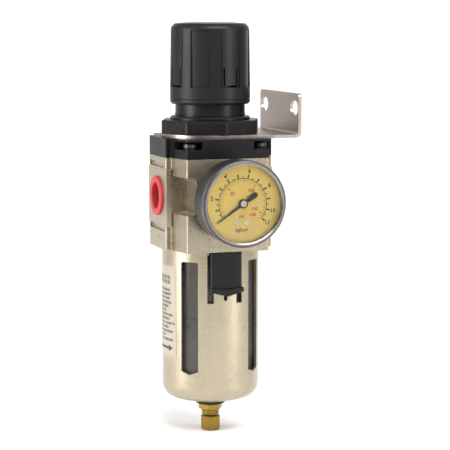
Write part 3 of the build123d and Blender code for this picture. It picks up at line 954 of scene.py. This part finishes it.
# Studio --------------------------------------------------------------------------------------
@dataclass
class Studio:
    """Pale floor with a swept-up back, soft lights and the camera."""

    packed: Packed
    yaw: float = math.radians(18.21)
    pitch: float = math.radians(6.92)
    distance: float = 1.1101
    lens: float = 139.06
    aim_below_ports: float = 0.02024
    aim_right: float = 0.00945

    def build(self) -> None:
        """Set the floor, world, lights and camera."""
        view = bpy.context.scene.view_settings
        view.view_transform = "Standard"
        view.look = "None"
        self._camera()
        self._floor()
        self._world()
        self._lights()

    def _spot(self) -> Vector:
        """Point on the upright axis that the view is arranged around."""
        return Vector((self.packed.axis_x, 0.0, self.packed.port_z - self.aim_below_ports))

    def _camera(self) -> None:
        """Camera at the front left, a little above."""
        forward = Vector((math.sin(self.yaw) * math.cos(self.pitch),
                          math.cos(self.yaw) * math.cos(self.pitch),
                          -math.sin(self.pitch)))
        right = Vector((math.cos(self.yaw), -math.sin(self.yaw), 0.0))
        data = bpy.data.cameras.new("camera")
        data.lens = self.lens
        data.sensor_width = 36.0
        data.clip_start = 0.01
        camera = bpy.data.objects.new("camera", data)
        bpy.context.scene.collection.objects.link(camera)
        camera.location = self._spot() - forward * self.distance
        aim = self._spot() + right * self.aim_right - camera.location
        camera.rotation_euler = aim.to_track_quat("-Z", "Y").to_euler()
        bpy.context.scene.camera = camera

    def _floor(self) -> None:
        """Floor under the part that curves up behind it."""
        low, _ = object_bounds()
        radius, reach, half = 0.9, 1.6, 4.0
        profile = [(-3.0, 0.0), (reach, 0.0)]
        profile += [(reach + radius * math.sin(t), radius * (1 - math.cos(t)))
                    for t in (math.pi / 2 * k / 16 for k in range(1, 17))]
        profile.append((reach + radius, 3.6))
        turn = Matrix.Rotation(-self.yaw, 3, "Z")
        centre = self._spot()
        sketch = Sketch()
        rows = []
        for y, z in profile:
            row = [turn @ Vector((x, y, 0.0)) for x in (-half, half)]
            rows.append([Vector((p.x + centre.x, p.y, z + low.z)) for p in row])
        sketch.grid(rows)
        floor = sketch.to_object("floor", True)
        g = Graph("studio_floor")
        grain = g.noise(30.0, 2.0)
        base = g.blend((0.90, 0.90, 0.90), (0.93, 0.93, 0.93), grain)
        floor.data.materials.append(g.done(g.surface({"Base Color": base, "Roughness": 0.9})))
        floor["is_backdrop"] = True

    def _world(self) -> None:
        """Surroundings dim near the horizon and pale overhead, so polished edges keep their contrast."""
        world = bpy.data.worlds.new("studio")
        world.use_nodes = True
        tree = world.node_tree
        ground = tree.nodes["Background"]
        ground.inputs["Strength"].default_value = 1.0
        split = tree.nodes.new("ShaderNodeSeparateXYZ")
        rise = tree.nodes.new("ShaderNodeValToRGB")
        Graph.set_stops(rise.color_ramp, ((0.0, (0.06, 0.059, 0.057)), (0.30, (0.15, 0.148, 0.143)),
                                          (1.0, (0.62, 0.61, 0.60))))
        tree.links.new(tree.nodes.new("ShaderNodeTexCoord").outputs["Generated"], split.inputs[0])
        tree.links.new(split.outputs["Z"], rise.inputs["Fac"])
        tree.links.new(rise.outputs["Color"], ground.inputs["Color"])
        bpy.context.scene.world = world

    def _lights(self) -> None:
        """Large soft box on the left, a strip on the right, a top light and one for the backdrop."""
        self._box("key_left", -70.0, 10.0, 0.95, (0.34, 0.9), 12.5, (1.0, 0.985, 0.96))
        self._box("strip_right", 58.0, 8.0, 1.05, (0.24, 0.9), 5.4, (1.0, 0.985, 0.965))
        self._box("front_top", 24.0, 50.0, 1.0, (0.9, 0.6), 15.0, (1.0, 0.995, 0.985))
        self._backdrop_light()

    def _box(self, name: str, azimuth: float, height: float, away: float, size: tuple[float, float],
             watts: float, colour: Colour) -> None:
        """One area light aimed at the part.

        Args:
            name: the light's name.
            azimuth: degrees to the right of the camera, seen from the part.
            height: degrees above the horizon.
            away: distance from the part in metres.
            size: width and height in metres.
            watts: power.
            colour: light colour.
        """
        data = bpy.data.lights.new(name, "AREA")
        data.shape = "RECTANGLE"
        data.size, data.size_y = size
        data.energy = watts
        data.color = colour
        light = bpy.data.objects.new(name, data)
        bpy.context.scene.collection.objects.link(light)
        a = -self.yaw + math.radians(azimuth)
        e = math.radians(height)
        out = Vector((math.sin(a) * math.cos(e), -math.cos(a) * math.cos(e), math.sin(e)))
        light.location = self._spot() + out * away
        light.rotation_euler = (-out).to_track_quat("-Z", "Y").to_euler()

    def _backdrop_light(self) -> None:
        """Wide light that keeps the background nearly white."""
        data = bpy.data.lights.new("backdrop", "AREA")
        data.shape = "RECTANGLE"
        data.size, data.size_y = 3.0, 1.0
        data.energy = 34.0
        light = bpy.data.objects.new("backdrop", data)
        bpy.context.scene.collection.objects.link(light)
        forward = Vector((math.sin(self.yaw), math.cos(self.yaw), 0.0))
        light.location = self._spot() + forward * 0.9 + Vector((0.0, 0.0, 1.6))
        light.rotation_euler = (forward * 1.2 + Vector((0.0, 0.0, -0.9))).to_track_quat("-Z", "Y").to_euler()


def main() -> None:
    """Load the model, dress it, add the printing and threads, and light it."""
    logging.basicConfig(level=logging.INFO)
    packed = Packed(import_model())
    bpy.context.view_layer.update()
    for group in (CastBody(packed), AdjustingGear(packed), FilterBowl(packed), Gauge(packed),
                  Studio(packed)):
        group.build()
        LOG.info("finished %s", type(group).__name__)


if __name__ == "__main__":
    main()
